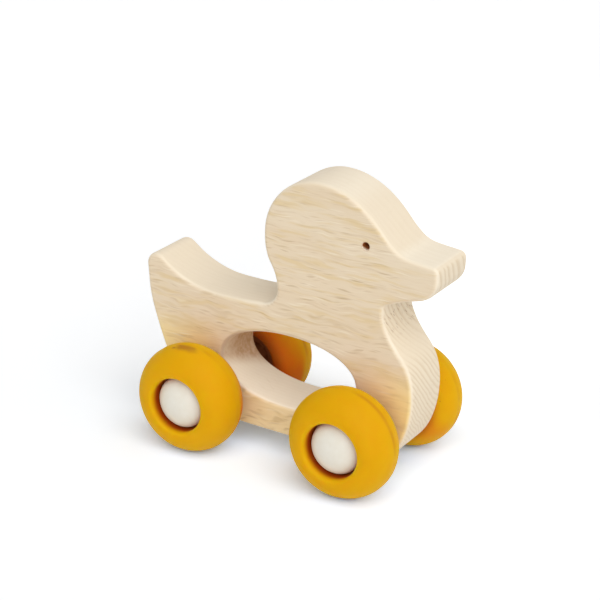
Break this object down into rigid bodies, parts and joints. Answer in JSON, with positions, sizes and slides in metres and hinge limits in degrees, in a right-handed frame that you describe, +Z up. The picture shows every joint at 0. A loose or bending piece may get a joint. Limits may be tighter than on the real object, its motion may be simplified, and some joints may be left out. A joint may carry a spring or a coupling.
{
  "type": "push toy",
  "caption": "Push-along duck sawn from a thick wooden board with an oval grip hole and a drilled eye, rolling on steel axles with soft ring tyres and domed wheel caps.",
  "frame": {"origin": "on the floor, under the middle of the toy's length and width", "axes": "+X forward past the bill, +Y to the duck's left, +Z up"},
  "size_m": [0.1168, 0.0682, 0.1056],
  "materials": {
    "beech": "planed and sanded, oiled lightly, with rounded edges",
    "silicone": "matt moulded silicone, mustard yellow",
    "hub_plastic": "moulded, brown",
    "cap_plastic": "satin moulded, off-white",
    "axle_steel": "drawn rod",
    "bush_nylon": "natural nylon",
    "washer_nylon": "natural nylon"
  },
  "bodies": {
    "duck": {"duck_body": "beech", "front_left_bush": "bush_nylon", "front_right_bush": "bush_nylon", "rear_left_bush": "bush_nylon", "rear_right_bush": "bush_nylon", "front_left_washer": "washer_nylon", "front_right_washer": "washer_nylon", "rear_left_washer": "washer_nylon", "rear_right_washer": "washer_nylon"},
    "front_wheelset": {"front_axle": "axle_steel", "front_left_tyre": "silicone", "front_right_tyre": "silicone", "front_left_hub": "hub_plastic", "front_right_hub": "hub_plastic", "front_left_cap": "cap_plastic", "front_right_cap": "cap_plastic"},
    "rear_wheelset": {"rear_axle": "axle_steel", "rear_left_tyre": "silicone", "rear_right_tyre": "silicone", "rear_left_hub": "hub_plastic", "rear_right_hub": "hub_plastic", "rear_left_cap": "cap_plastic", "rear_right_cap": "cap_plastic"}
  },
  "joints": [
    {"name": "front_wheelset_roll", "type": "hinge", "parent": "duck", "child": "front_wheelset", "pos_m": [0.03305, 0, 0.02], "axis": [0, 1, 0], "continuous": true},
    {"name": "rear_wheelset_roll", "type": "hinge", "parent": "duck", "child": "rear_wheelset", "pos_m": [-0.02995, 0, 0.02], "axis": [0, 1, 0], "continuous": true}
  ]
}
